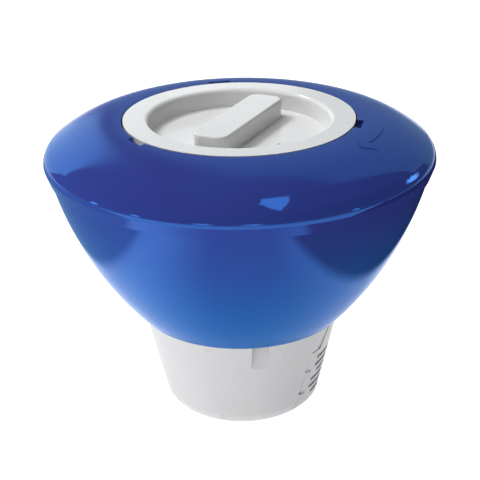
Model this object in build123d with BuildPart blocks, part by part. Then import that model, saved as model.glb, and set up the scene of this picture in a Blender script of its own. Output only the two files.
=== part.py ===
from build123d import *
import math
import os

os.makedirs("parts", exist_ok=True)

# Floating chlorine dispenser, in millimetres. +Z is up and the front is -Y. The
# origin is the centre of the cup's foot, with the cup drawn out to its full reach.

# Overall sizes
float_diameter = 210.0
float_height = 109.5
cup_reach = 58.5
lid_diameter = 124.0

# Float: crown and shoulder of the top shell, curve of the bowl
shoulder_drop = 20.5
shoulder_radius = 9.1
lip_drop = 26.4
lip_inset = 2.1
bowl_step = 1.0
bowl_bulge = 6.0
shell_wall = 2.6
spigot_height = 5.0
spigot_root = 3.0
spigot_wall = 2.2
opening_gap = 0.7
opening_rim_depth = 4.0
opening_rim_width = 3.5
opening_round = 0.6
collar_wall = 2.4
collar_height = 7.0
socket_height = 9.0
socket_foot = 3.0
rim_land = 1.4
rim_round = 1.0

# Well tube: bore, guide for the cup, bayonet channel under the opening's rim
tube_wall = 2.4
ledge_width = 2.0
guide_height = 16.9
seat_drop = 3.6
channel_drop = 7.5
well_flange_thickness = 3.0
lug_channel_room = 0.8
stop_height = 3.4
stop_width = 5.0
stop_play_angle = 1.0
seal_section = 1.3
seal_groove_width = 1.6
seal_nip = 0.02

# Lid
lid_flange = 3.2
lid_edge_round = 1.1
lid_skirt_wall = 1.2
lid_skirt_depth = 3.4
dish_diameter = 97.6
dish_depth = 9.5
dish_draft = 2.2
dish_lip_round = 2.6
dish_floor_round = 3.6
lid_wall = 2.2
bar_length = 76.2
bar_width = 19.8
bar_corner_round = 6.2
bar_above_flange = 1.0
bar_angle = 64.3
bar_edge_round = 1.1
plug_gap = 1.2
plug_wall = 2.6
plug_depth = 18.0
gasket_section = 2.3
gasket_groove_depth = 1.6
gasket_groove_width = 2.8
gasket_from_plug_end = 4.0
gate_mark_radius = 0.8
gate_mark_depth = 0.5
gate_mark_place = (20.6, -18.3)

# Bayonet: lugs stand at uneven angles, so the lid drops in one way only
lug_angles = (100.0, 216.0, 346.0)
lug_length = 3.8
lug_width = 10.0
lug_thickness = 2.2
notch_side_gap = 1.2
lock_turn = 35.0

# Cup
cup_draft = 12.8
cup_corner_round = 14.0
dial_land = 2.0
cup_wall = 2.4
flange_height = 5.0
brake_section = 2.4
brake_groove_width = 2.8
chamber_floor = 2.4
channel_angle = -80.0
channel_width = 9.2
channel_start_height = 42.0
channel_wall = 2.0
key_side_gap = 0.4
boss_radius = 9.0
boss_height = 3.0

# Dosing windows in the cup
window_angle = -14.5
window_depth = 0.7
grille_wall = 1.9
moat_width = 1.5
moat_depth = 1.7
window_half_width = 25.5
window_foot_height = 3.0
window_shoulder_land = 5.65
window_corner_round = 2.5
throat_half_width = 20.3
throat_top_half_width = 12.0
throat_top_height = 67.0
tooth_length = 4.5
tooth_height = 2.6
slot_pitch = 4.85
slot_height = 2.6
slot_rows = 6
slot_reach = 17.1
slot_short_reach = 13.5
slot_rib = 3.0
lowest_slot_height = 12.3
vent_width = 4.4
vent_ledge = 1.6
vent_top_height = 62.0
vent_end_margin = 1.0

# Regulator: shutter, dial, spindle
dial_radius = 26.6
dial_thickness = 7.2
dial_web = 1.4
dial_grip_width = 7.0
dial_rim_wall = 3.0
dial_tick_count = 5
dial_tick_step = 15.0
dial_tick_inset = 0.4
dial_tick_short = 1.0
dial_tick_growth = 0.55
dial_tick_width = 0.9
dial_tick_depth = 0.4
dial_hollow_round = 1.5
recess_depth = 8.4
spindle_radius = 5.0
spindle_seal_section = 1.2
spindle_seal_depth = 1.2
drive_width = 7.0
drive_height = 3.4
drum_wall = 1.6
drum_top_ring = 2.5
drum_floor = 2.0
hub_height = 4.8
shutter_turn = 62.0
shutter_columns = 3
shutter_column_width = 11.2
shutter_rib = 2.6
drain_hole_radius = 3.2
drain_hole_count = 12
drain_hole_circle = 28.0
inner_drain_count = 8
inner_drain_circle = 17.5
screw_radius = 1.9
screw_length = 10.0
screw_head_radius = 3.9
screw_head_height = 2.2
screw_cross_width = 1.1
screw_cross_length = 4.6
screw_cross_depth = 1.2
washer_radius = 5.0
washer_thickness = 0.8

# Clearances
slide_gap = 0.4
key_gap = 0.5
rest_gap = 0.3
lug_gap = 0.4
fixed_gap = 0.1
shutter_gap = 0.5
dial_ground_gap = 0.8
shaft_gap = 0.1

# How far a cut runs past the face that it opens
cut_margin = 2.0

# Raised arrow beside the opening that shows which way the lid locks
arrow_radius = 77.0
arrow_line = 1.0
arrow_height = 0.45
arrow_from = -13.0
arrow_to = -31.0
arrow_tip_angle = -38.0
arrow_arm = 8.5
arrow_spread = 42.0

# Levels and radii that follow
float_radius = float_diameter / 2
lid_radius = lid_diameter / 2
rim_height = cup_reach
crown_height = rim_height + float_height
shoulder_height = crown_height - shoulder_drop
lip_height = crown_height - lip_drop
opening_radius = lid_radius + opening_gap
rim_inner_top = opening_radius + opening_rim_width
collar_bore = rim_inner_top + lug_channel_room + fixed_gap
lip_radius = float_radius - lip_inset
bowl_top_radius = lip_radius - bowl_step

well_bore = lid_radius - lid_skirt_wall - slide_gap - tube_wall
guide_bore = well_bore - ledge_width
cup_radius = guide_bore - slide_gap
flange_radius = well_bore - slide_gap
guide_foot = rim_height + shell_wall
ledge_height = guide_foot + guide_height
seat_height = crown_height - seat_drop
channel_floor_height = crown_height - channel_drop
well_flange_radius = collar_bore - fixed_gap
flange_foot = ledge_height + rest_gap
cup_top = flange_foot + flange_height

highest_slot_height = lowest_slot_height + (slot_rows - 1) * slot_pitch
window_shoulder_height = highest_slot_height + slot_height / 2 + window_shoulder_land

draft = math.radians(cup_draft)
recess_radius = dial_radius + slide_gap
floor_height = recess_depth + chamber_floor
boss_top = floor_height + boss_height
drum_floor_height = boss_top + slide_gap
drum_top = window_shoulder_height - vent_ledge - drum_wall


def turned(radius, degrees, centre=(0.0, 0.0)):
    """Point on a circle, as (x, y) or, in an upright sketch, (radius, height)."""
    across = centre[0] + radius * math.cos(math.radians(degrees))
    along = centre[1] + radius * math.sin(math.radians(degrees))
    return across, along


def side_plane(degrees):
    """Upright plane through the axis, facing outwards at the given angle."""
    out_x, out_y = turned(1.0, degrees)
    return Plane(origin=(0, 0, 0), x_dir=(-out_y, out_x, 0), z_dir=(out_x, out_y, 0))


def ring_outline(inner, outer, low, high):
    """Rectangle in a (radius, height) sketch."""
    with Locations(((inner + outer) / 2, (low + high) / 2)):
        Rectangle(outer - inner, high - low)


def o_ring(middle_radius, height, section):
    """Round-section ring as a new part."""
    with BuildPart() as ring:
        with BuildSketch(Plane.XZ):
            with Locations((middle_radius, height)):
                Circle(section / 2)
        revolve(axis=Axis.Z)
    return ring.part


def finish(part, label):
    """Name a finished piece and write it."""
    part.label = label
    export_step(part, f"parts/{label}.step")


# Crown arc and shoulder arc touch smoothly, so the crown's radius follows from both.
shoulder_centre_r = float_radius - shoulder_radius
crown_span = shoulder_centre_r - opening_radius
crown_drop = shoulder_drop - shoulder_radius
crown_radius = (crown_span**2 + shoulder_drop**2 - shoulder_radius**2) / (2 * crown_drop)
crown_centre_z = crown_height - crown_radius
meet_angle = math.degrees(math.atan2(shoulder_height - crown_centre_z, crown_span))


def crown_z(radius, below=0.0):
    """Height of the crown's outer face, or of the face that far below it."""
    return crown_centre_z + math.sqrt((crown_radius - below) ** 2 - (radius - opening_radius) ** 2)


def crown_outline(below):
    """Lines of the top shell's face from the opening to the lip, set in by a distance."""
    crown = CenterArc((opening_radius, crown_centre_z), crown_radius - below, 90, meet_angle - 90)
    shoulder = CenterArc(
        (shoulder_centre_r, shoulder_height), shoulder_radius - below, meet_angle, -meet_angle
    )
    band = Line((float_radius - below, shoulder_height), (lip_radius - below, lip_height))
    return crown, shoulder, band


def sector(inner, outer, start, end):
    """Ring sector between two angles in a flat sketch."""
    with BuildLine() as edge:
        CenterArc((0, 0), inner, start, end - start)
        CenterArc((0, 0), outer, start, end - start)
        Line(turned(inner, start), turned(outer, start))
        Line(turned(inner, end), turned(outer, end))
    make_face(edge.edges())


# Raised arrow, cut out of a thin skin that follows the crown
with BuildPart() as arrow_mark:
    with BuildSketch(Plane.XY.offset(crown_z(arrow_radius) - shoulder_radius)):
        sector(arrow_radius - arrow_line / 2, arrow_radius + arrow_line / 2, arrow_to, arrow_from)
        arrow_tip = turned(arrow_radius, arrow_tip_angle)
        for side in (-1, 1):
            arm_angle = arrow_tip_angle + 90 + side * arrow_spread
            with Locations(Location((arrow_tip[0], arrow_tip[1], 0), (0, 0, arm_angle))):
                Rectangle(arrow_arm, arrow_line, align=(Align.MIN, Align.CENTER))
    extrude(amount=2 * shoulder_radius)
    with BuildSketch(Plane.XZ):
        skin_centre = (opening_radius, crown_centre_z)
        skin_top = crown_radius + arrow_height
        skin_foot = crown_radius - shell_wall / 2
        with BuildLine():
            CenterArc(skin_centre, skin_top, 90, meet_angle - 90)
            CenterArc(skin_centre, skin_foot, 90, meet_angle - 90)
            Line(turned(skin_top, 90, skin_centre), turned(skin_foot, 90, skin_centre))
            Line(turned(skin_top, meet_angle, skin_centre), turned(skin_foot, meet_angle, skin_centre))
        make_face()
    revolve(axis=Axis.Z, mode=Mode.INTERSECT)


# Top shell of the float: domed ring, stiff rim round the opening, collar for the well tube
rim_foot = crown_height - opening_rim_depth

with BuildPart() as float_top_shell:
    with BuildSketch(Plane.XZ):
        with BuildLine():
            outer = crown_outline(0.0)
            inner = crown_outline(shell_wall)
            Line(outer[0] @ 0, inner[0] @ 0)
            Line(outer[2] @ 1, inner[2] @ 1)
        make_face()
        ring_outline(opening_radius, rim_inner_top, rim_foot, crown_z(rim_inner_top, shell_wall / 2))
    revolve(axis=Axis.Z)
    mouth_edges = edges().filter_by(GeomType.CIRCLE).group_by(Axis.Z)[-1]
    fillet(mouth_edges, opening_round)
    with BuildSketch(Plane.XZ):
        collar_outer = collar_bore + collar_wall
        collar_foot = rim_foot - collar_height
        ring_outline(collar_bore, collar_outer, collar_foot, crown_z(collar_outer, shell_wall / 2))
    revolve(axis=Axis.Z)
    add(arrow_mark.part)
    with BuildSketch(Plane.XY.offset(crown_height + cut_margin)):
        notch_length = lug_length + lug_gap + cut_margin
        for angle in lug_angles:
            middle = turned(lid_radius - cut_margin + notch_length / 2, angle)
            with Locations(Location((middle[0], middle[1], 0), (0, 0, angle))):
                Rectangle(notch_length, lug_width + 2 * notch_side_gap)
    extrude(amount=-(opening_rim_depth + 2 * cut_margin), mode=Mode.SUBTRACT)
finish(float_top_shell.part, "float_top_shell")


# Bowl: one arc from the lip down to the rim that the cup leaves
bowl_foot_radius = guide_bore + rim_land
bowl_rise = lip_height - rim_height
bowl_spread = bowl_top_radius - bowl_foot_radius
bowl_chord = math.hypot(bowl_rise, bowl_spread)
bowl_arc_radius = (bowl_chord**2 / 4 + bowl_bulge**2) / (2 * bowl_bulge)
bowl_inset = bowl_arc_radius - bowl_bulge
bowl_centre = (
    (bowl_top_radius + bowl_foot_radius) / 2 - bowl_inset * bowl_rise / bowl_chord,
    (lip_height + rim_height) / 2 + bowl_inset * bowl_spread / bowl_chord,
)


def bowl_point(radius, height):
    """Point of the bowl's circle of that radius at a height."""
    rise = height - bowl_centre[1]
    return bowl_centre[0] + math.sqrt(radius**2 - rise**2), height


def bowl_angle(point):
    """Direction of a point from the centre of the bowl's arc, in degrees."""
    return math.degrees(math.atan2(point[1] - bowl_centre[1], point[0] - bowl_centre[0]))


with BuildPart() as float_bowl:
    floor_top = rim_height + shell_wall
    inner_arc_radius = bowl_arc_radius - shell_wall
    outer_top = bowl_angle((bowl_top_radius, lip_height))
    outer_foot = bowl_angle((bowl_foot_radius, rim_height))
    inner_top_point = bowl_point(inner_arc_radius, lip_height)
    inner_foot_point = bowl_point(inner_arc_radius, floor_top)
    inner_top = bowl_angle(inner_top_point)
    inner_foot = bowl_angle(inner_foot_point)
    with BuildSketch(Plane.XZ) as bowl_section:
        with BuildLine():
            CenterArc(bowl_centre, bowl_arc_radius, outer_top, outer_foot - outer_top)
            CenterArc(bowl_centre, inner_arc_radius, inner_top, inner_foot - inner_top)
            Line((bowl_top_radius, lip_height), inner_top_point)
            Polyline(
                inner_foot_point,
                (guide_bore, floor_top),
                (guide_bore, rim_height),
                (bowl_foot_radius, rim_height),
            )
        make_face()
        fillet(bowl_section.vertices().sort_by_distance((bowl_foot_radius, rim_height))[0], rim_round)
        spigot_outer = lip_radius - shell_wall - fixed_gap
        ring_outline(
            spigot_outer - spigot_wall, spigot_outer, lip_height - spigot_root, lip_height + spigot_height
        )
        socket_bore = guide_bore + tube_wall + fixed_gap
        ring_outline(
            socket_bore, socket_bore + collar_wall, floor_top + socket_foot, floor_top + socket_height
        )
    revolve(axis=Axis.Z)
    with BuildSketch(Plane.XY.offset(floor_top)):
        Circle(socket_bore)
    extrude(amount=socket_height, mode=Mode.SUBTRACT)
finish(float_bowl.part, "float_bowl")


# Well tube: closes off the air chamber, guides the cup and carries the bayonet's floor
upper_seal_height = channel_floor_height - well_flange_thickness / 2
lower_seal_height = guide_foot + socket_height / 2
guide_outer = guide_bore + tube_wall
bore_outer = well_bore + tube_wall

with BuildPart() as well_tube:
    with BuildSketch(Plane.XZ):
        ring_outline(guide_bore, guide_outer, guide_foot, ledge_height)
        ring_outline(guide_bore, bore_outer, ledge_height - tube_wall, ledge_height)
        ring_outline(well_bore, bore_outer, ledge_height, seat_height)
        ring_outline(
            well_bore,
            well_flange_radius,
            channel_floor_height - well_flange_thickness,
            channel_floor_height,
        )
    revolve(axis=Axis.Z)
    with BuildSketch(Plane.XZ):
        seal_depth = seal_section - seal_nip
        for edge, height in ((guide_outer, lower_seal_height), (well_flange_radius, upper_seal_height)):
            with Locations((edge - seal_depth, height)):
                Rectangle(2 * seal_depth, seal_groove_width, align=(Align.MIN, Align.CENTER))
    revolve(axis=Axis.Z, mode=Mode.SUBTRACT)
    key_tip = cup_radius - (rim_height - channel_start_height) * math.tan(draft) + key_gap
    key_root = guide_bore + tube_wall / 4
    key_width = channel_width - 2 * key_side_gap
    with BuildSketch(Plane.XY.offset(guide_foot)):
        for angle in (channel_angle, channel_angle + 180):
            middle = turned((key_tip + key_root) / 2, angle)
            with Locations(Location((middle[0], middle[1], 0), (0, 0, angle))):
                Rectangle(key_root - key_tip, key_width)
    extrude(amount=guide_height - rest_gap)
    with BuildSketch(Plane.XY.offset(channel_floor_height)):
        stop_reach = stop_width / 2 / (well_flange_radius * math.pi / 180)
        lug_reach = lug_width / 2 / (lid_radius * math.pi / 180)
        for angle in lug_angles:
            stop_angle = angle - lock_turn - lug_reach - stop_reach - stop_play_angle
            sector(
                opening_radius + lug_gap,
                well_flange_radius - lug_gap,
                stop_angle - stop_reach,
                stop_angle + stop_reach,
            )
    extrude(amount=stop_height)
finish(well_tube.part, "well_tube")

seal_inset = seal_section / 2 - fixed_gap
free_section = seal_section - 2 * seal_nip
well_lower_seal = o_ring(guide_outer - seal_inset, lower_seal_height, free_section)
finish(well_lower_seal, "well_lower_seal")

well_upper_seal = o_ring(well_flange_radius - seal_inset, upper_seal_height, free_section)
finish(well_upper_seal, "well_upper_seal")


# Lid: flange, sunk dish, bar grip that is hollow from below, plug skirt, bayonet lugs
flange_foot_z = crown_height - lid_flange
dish_floor = crown_height - dish_depth
dish_radius = dish_diameter / 2
plug_outer = well_bore - plug_gap
plug_inner = plug_outer - plug_wall
plug_foot = crown_height - plug_depth
skirt_foot = flange_foot_z - lid_skirt_depth
gasket_height = plug_foot + gasket_from_plug_end

with BuildPart() as lid_cap:
    with BuildSketch(Plane.XZ) as lid_section:
        with BuildLine():
            Polyline(
                (0, dish_floor),
                (dish_radius - dish_draft, dish_floor),
                (dish_radius, crown_height),
                (lid_radius, crown_height),
                (lid_radius, skirt_foot),
                (lid_radius - lid_skirt_wall, skirt_foot),
                (lid_radius - lid_skirt_wall, flange_foot_z),
                (plug_outer, flange_foot_z),
                (plug_outer, plug_foot),
                (plug_inner, plug_foot),
                (plug_inner, flange_foot_z),
                (dish_radius + lid_wall, flange_foot_z),
                (dish_radius + lid_wall - dish_draft, dish_floor - lid_wall),
                (0, dish_floor - lid_wall),
                close=True,
            )
        make_face()
        corners = lid_section.vertices()
        fillet(corners.sort_by_distance((dish_radius, crown_height))[0], dish_lip_round)
        fillet(corners.sort_by_distance((lid_radius, crown_height))[0], lid_edge_round)
        fillet(corners.sort_by_distance((dish_radius - dish_draft, dish_floor))[0], dish_floor_round)
    revolve(axis=Axis.Z)
    with BuildSketch(Plane.XY.offset(dish_floor - lid_wall / 2)):
        RectangleRounded(bar_length, bar_width, bar_corner_round, rotation=bar_angle)
    extrude(amount=dish_depth + bar_above_flange + lid_wall / 2)
    fillet(faces().sort_by(Axis.Z)[-1].edges(), bar_edge_round)
    with BuildSketch(Plane.XY.offset(dish_floor - lid_wall)):
        RectangleRounded(
            bar_length - 2 * lid_wall,
            bar_width - 2 * lid_wall,
            bar_corner_round - lid_wall,
            rotation=bar_angle,
        )
    extrude(amount=dish_depth + bar_above_flange, mode=Mode.SUBTRACT)
    with BuildSketch(Plane.XY.offset(dish_floor)):
        with Locations(gate_mark_place):
            Circle(gate_mark_radius)
    extrude(amount=-gate_mark_depth, mode=Mode.SUBTRACT)
    with BuildSketch(Plane.XY.offset(skirt_foot)):
        for angle in lug_angles:
            lug_root = lid_radius - lid_skirt_wall / 2
            middle = turned((lug_root + lid_radius + lug_length) / 2, angle)
            with Locations(Location((middle[0], middle[1], 0), (0, 0, angle))):
                Rectangle(lid_radius + lug_length - lug_root, lug_width)
    extrude(amount=lug_thickness)
    with BuildSketch(Plane.XZ):
        with Locations((plug_outer - gasket_groove_depth, gasket_height)):
            Rectangle(2 * gasket_groove_depth, gasket_groove_width, align=(Align.MIN, Align.CENTER))
    revolve(axis=Axis.Z, mode=Mode.SUBTRACT)
finish(lid_cap.part, "lid_cap")

gasket_middle = plug_outer - gasket_groove_depth + fixed_gap + gasket_section / 2
lid_gasket = o_ring(gasket_middle, gasket_height, gasket_section)
finish(lid_gasket, "lid_gasket")


# Cup: tapered wall, guide flange, two keyways, two slotted windows, floor with a dial recess
def cup_outline_radius(height):
    """Outer radius of the cup's straight taper at a height."""
    return cup_radius - (rim_height - height) * math.tan(draft)


corner_room = cup_outline_radius(0) - recess_radius - dial_land
foot_round = min(cup_corner_round, corner_room / math.tan((math.pi / 2 - draft) / 2))


def cup_wall_face(inset_outer, inset_inner, low, high):
    """Skin of the cup between two depths below its face, in an upright sketch."""
    levels = [low, high] if high <= rim_height else [low, rim_height, high]
    outer_line = [(cup_outline_radius(min(level, rim_height)) - inset_outer, level) for level in levels]
    inner_line = [(cup_outline_radius(min(level, rim_height)) - inset_inner, level) for level in levels]
    with BuildLine() as edge:
        Polyline(*outer_line, *reversed(inner_line), close=True)
    make_face(edge.edges())


slot_heights = [lowest_slot_height + row * slot_pitch for row in range(slot_rows)]
short_rows = (0, 3)
tooth_heights = [slot_heights[row] + slot_pitch / 4 for row in short_rows]

# The window's panel stands a little below the cup's face inside a moat that follows its outline
with BuildPart() as window_pocket:
    with BuildSketch(side_plane(window_angle)) as pocket_outline:
        with BuildLine():
            points = [(0, window_foot_height), (window_half_width, window_foot_height)]
            for height in tooth_heights:
                points += [
                    (window_half_width, height - tooth_height),
                    (window_half_width - tooth_length, height - tooth_height / 4),
                    (window_half_width - tooth_length, height + tooth_height / 4),
                    (window_half_width, height + tooth_height),
                ]
            points += [
                (window_half_width, window_shoulder_height),
                (throat_half_width, window_shoulder_height),
                (throat_top_half_width, throat_top_height),
                (0, throat_top_height),
            ]
            Polyline(*points)
            mirror(about=Plane.YZ)
        make_face()
        corner_places = [
            (side * window_half_width, height)
            for side in (-1, 1)
            for height in (window_foot_height, window_shoulder_height)
        ]
        for place in corner_places:
            fillet(pocket_outline.vertices().sort_by_distance(place)[0], window_corner_round)
    extrude(amount=float_radius)
    with BuildSketch(Plane.XZ):
        cup_wall_face(-2 * cup_wall, window_depth, 0.0, cup_top)
    revolve(axis=Axis.Z, mode=Mode.INTERSECT)

with BuildPart() as window_moat:
    with BuildSketch(side_plane(window_angle)):
        add(pocket_outline.sketch)
        offset(pocket_outline.sketch, amount=-moat_width, kind=Kind.INTERSECTION, mode=Mode.SUBTRACT)
    extrude(amount=float_radius)
    with BuildSketch(Plane.XZ):
        cup_wall_face(-2 * cup_wall, moat_depth, 0.0, cup_top)
    revolve(axis=Axis.Z, mode=Mode.INTERSECT)

with BuildPart() as window_slots:
    with BuildSketch(side_plane(window_angle)):
        for row, height in enumerate(slot_heights):
            reach = slot_short_reach if row in short_rows else slot_reach
            for side in (-1, 1):
                with Locations((side * (reach + slot_rib / 2) / 2, height)):
                    SlotOverall(reach - slot_rib / 2, slot_height)
        with BuildLine():
            throat_height = throat_top_height - window_shoulder_height
            throat_slope = (throat_half_width - throat_top_half_width) / throat_height
            vent_narrowing = throat_slope * (vent_top_height - window_shoulder_height)
            Polyline(
                (window_half_width - vent_end_margin, window_shoulder_height),
                (throat_half_width, window_shoulder_height),
                (throat_half_width - vent_narrowing, vent_top_height),
                (throat_half_width - vent_narrowing - vent_width, vent_top_height),
                (throat_half_width - vent_width, window_shoulder_height - vent_ledge),
                (window_half_width - vent_end_margin, window_shoulder_height - vent_ledge),
                close=True,
            )
        make_face()
        mirror(about=Plane.YZ)
    extrude(amount=float_radius)

keyway_floor = cup_outline_radius(channel_start_height)
keyway_angles = (channel_angle, channel_angle + 180)
window_angles = (window_angle, window_angle + 180)
grille_depth = window_depth + grille_wall

# Inner thickening behind the keyways and behind the windows, kept inside the cup's skin
keyway_foot = channel_start_height - channel_wall

with BuildPart() as cup_backing:
    for angle in keyway_angles:
        with BuildSketch(side_plane(angle).offset(keyway_floor - channel_wall)):
            with Locations((0, keyway_foot)):
                Rectangle(
                    channel_width + 2 * channel_wall,
                    cup_top - keyway_foot,
                    align=(Align.CENTER, Align.MIN),
                )
        extrude(amount=cup_radius)
    with BuildSketch(Plane.XZ):
        with BuildLine():
            Polyline(
                (0, keyway_foot),
                (cup_outline_radius(keyway_foot) - cup_wall / 2, keyway_foot),
                (cup_radius - cup_wall / 2, rim_height),
                (cup_radius - cup_wall / 2, cup_top),
                (0, cup_top),
                close=True,
            )
        make_face()
    revolve(axis=Axis.Z, mode=Mode.INTERSECT)

with BuildPart() as window_backing:
    for angle in window_angles:
        with BuildSketch(side_plane(angle)):
            with Locations((0, floor_height - chamber_floor / 2)):
                Rectangle(
                    2 * (window_half_width + grille_wall),
                    window_shoulder_height + grille_wall - floor_height + chamber_floor / 2,
                    align=(Align.CENTER, Align.MIN),
                )
            with BuildLine():
                Polyline(
                    (throat_half_width + grille_wall, window_shoulder_height),
                    (throat_top_half_width + grille_wall, throat_top_height + grille_wall),
                    (-throat_top_half_width - grille_wall, throat_top_height + grille_wall),
                    (-throat_half_width - grille_wall, window_shoulder_height),
                    close=True,
                )
            make_face()
        extrude(amount=float_radius)
    with BuildSketch(Plane.XZ):
        cup_wall_face(cup_wall / 2, grille_depth, floor_height - chamber_floor / 2, cup_top)
    revolve(axis=Axis.Z, mode=Mode.INTERSECT)

with BuildPart() as cup_body:
    with BuildSketch(Plane.XZ) as cup_section:
        with BuildLine():
            Polyline(
                (recess_radius, 0),
                (cup_outline_radius(0), 0),
                (cup_radius, rim_height),
                (cup_radius, flange_foot),
                (flange_radius, flange_foot),
                (flange_radius, cup_top),
                (cup_radius - cup_wall, cup_top),
                (cup_radius - cup_wall, rim_height),
                (cup_outline_radius(floor_height) - cup_wall, floor_height),
                (boss_radius, floor_height),
                (boss_radius, boss_top),
                (spindle_radius + shaft_gap, boss_top),
                (spindle_radius + shaft_gap, recess_depth),
                (recess_radius, recess_depth),
                close=True,
            )
        make_face()
        fillet(cup_section.vertices().sort_by_distance((cup_outline_radius(0), 0))[0], foot_round)
    revolve(axis=Axis.Z)
    add(cup_backing.part)
    add(window_backing.part)
    for angle in keyway_angles:
        with BuildSketch(side_plane(angle).offset(keyway_floor)):
            with Locations((0, channel_start_height - channel_width)):
                Rectangle(
                    channel_width,
                    flange_foot - channel_start_height + channel_width,
                    align=(Align.CENTER, Align.MIN),
                )
        extrude(amount=cup_radius, mode=Mode.SUBTRACT)
    for turn in (0, 180):
        add(window_pocket.part.rotate(Axis.Z, turn), mode=Mode.SUBTRACT)
        add(window_moat.part.rotate(Axis.Z, turn), mode=Mode.SUBTRACT)
        add(window_slots.part.rotate(Axis.Z, turn), mode=Mode.SUBTRACT)
    with BuildSketch(Plane.XZ):
        brake_middle = well_bore - fixed_gap - brake_section / 2
        with Locations((brake_middle - brake_section / 2 - fixed_gap / 2, flange_foot + flange_height / 2)):
            Rectangle(2 * brake_section, brake_groove_width, align=(Align.MIN, Align.CENTER))
    revolve(axis=Axis.Z, mode=Mode.SUBTRACT)
    with BuildSketch():
        tick_start = recess_radius + dial_tick_inset
        for tick in range(dial_tick_count):
            tick_length = dial_tick_short + tick * dial_tick_growth
            tick_angle = channel_angle + tick * dial_tick_step
            middle = turned(tick_start + tick_length / 2, tick_angle)
            with Locations(Location((middle[0], middle[1], 0), (0, 0, tick_angle))):
                Rectangle(tick_length, dial_tick_width)
    extrude(amount=dial_tick_depth, mode=Mode.SUBTRACT)
finish(cup_body.part, "cup_body")

cup_brake_ring = o_ring(brake_middle, flange_foot + flange_height / 2, brake_section)
finish(cup_brake_ring, "cup_brake_ring")


# Shutter: slotted drum that follows the cup's taper, on a drained floor with a square-drive hub
drum_inset = grille_depth + shutter_gap
drum_foot = floor_height + slide_gap
hub_top = drum_floor_height + hub_height
drive_top = drum_floor_height + drive_height

with BuildPart() as dose_shutter:
    with BuildSketch(Plane.XZ):
        cup_wall_face(drum_inset, drum_inset + drum_wall, drum_foot, drum_top)
    revolve(axis=Axis.Z)
    for turn in (0, 180):
        middle_angle = window_angle - shutter_turn + turn
        with BuildSketch(side_plane(middle_angle).offset(boss_radius)):
            for column in range(shutter_columns):
                across = (column - (shutter_columns - 1) / 2) * (shutter_column_width + shutter_rib)
                with Locations((across, drum_foot)):
                    Rectangle(
                        shutter_column_width,
                        drum_top - drum_top_ring - drum_foot,
                        align=(Align.CENTER, Align.MIN),
                    )
        extrude(amount=cup_radius, mode=Mode.SUBTRACT)
    with BuildSketch(Plane.XY.offset(drum_floor_height)):
        Circle(cup_outline_radius(drum_floor_height) - drum_inset - drum_wall / 2)
        with PolarLocations(drain_hole_circle, drain_hole_count):
            Circle(drain_hole_radius, mode=Mode.SUBTRACT)
        with PolarLocations(inner_drain_circle, inner_drain_count):
            Circle(drain_hole_radius, mode=Mode.SUBTRACT)
    extrude(amount=drum_floor)
    with BuildSketch(Plane.XY.offset(drum_floor_height)):
        Circle(boss_radius)
    extrude(amount=hub_height)
    with BuildSketch(Plane.XY.offset(drum_floor_height)):
        Rectangle(drive_width + 2 * fixed_gap, drive_width + 2 * fixed_gap)
    extrude(amount=drive_height + fixed_gap, mode=Mode.SUBTRACT)
    with BuildSketch(Plane.XY.offset(drum_floor_height)):
        Circle(screw_radius + 2 * fixed_gap)
    extrude(amount=hub_height, mode=Mode.SUBTRACT)
finish(dose_shutter.part, "dose_shutter")


# Dial: sunk in the cup's foot, with a grip bar between two finger hollows and a spindle
dial_foot = dial_ground_gap
dial_top = dial_foot + dial_thickness
spindle_seal_height = recess_depth + chamber_floor / 2

with BuildPart() as dose_dial:
    with BuildSketch(Plane.XY.offset(dial_foot)):
        Circle(dial_radius)
    extrude(amount=dial_thickness)
    with BuildSketch(Plane.XY.offset(dial_foot)) as finger_hollows:
        Circle(dial_radius - dial_rim_wall)
        Rectangle(2 * dial_radius, dial_grip_width, mode=Mode.SUBTRACT)
        fillet(finger_hollows.vertices(), dial_hollow_round)
    extrude(amount=dial_thickness - dial_web, mode=Mode.SUBTRACT)
    with BuildSketch(Plane.XY.offset(dial_foot)):
        with Locations((dial_radius - dial_rim_wall / 2, 0)):
            Rectangle(dial_rim_wall, dial_tick_width)
    extrude(amount=dial_tick_depth, mode=Mode.SUBTRACT)
    with BuildSketch(Plane.XY.offset(dial_top)):
        Circle(spindle_radius)
    extrude(amount=drum_floor_height - dial_top)
    with BuildSketch(Plane.XY.offset(drum_floor_height)):
        Rectangle(drive_width, drive_width)
    extrude(amount=drive_height)
    with BuildSketch(Plane.XY.offset(drive_top)):
        Circle(screw_radius + fixed_gap)
    extrude(amount=-(drive_top - dial_top), mode=Mode.SUBTRACT)
    with BuildSketch(Plane.XZ):
        with Locations((spindle_radius - spindle_seal_depth, spindle_seal_height)):
            Rectangle(2 * spindle_seal_depth, seal_groove_width, align=(Align.MIN, Align.CENTER))
    revolve(axis=Axis.Z, mode=Mode.SUBTRACT)
finish(dose_dial.part, "dose_dial")

spindle_seal_middle = spindle_radius + shaft_gap / 2 - spindle_seal_section / 2
dial_seal = o_ring(spindle_seal_middle, spindle_seal_height, spindle_seal_section)
finish(dial_seal, "dial_seal")

with BuildPart() as shutter_washer:
    with BuildSketch(Plane.XY.offset(hub_top)):
        Circle(washer_radius)
        Circle(screw_radius + 2 * fixed_gap, mode=Mode.SUBTRACT)
    extrude(amount=washer_thickness)
finish(shutter_washer.part, "shutter_washer")

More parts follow.
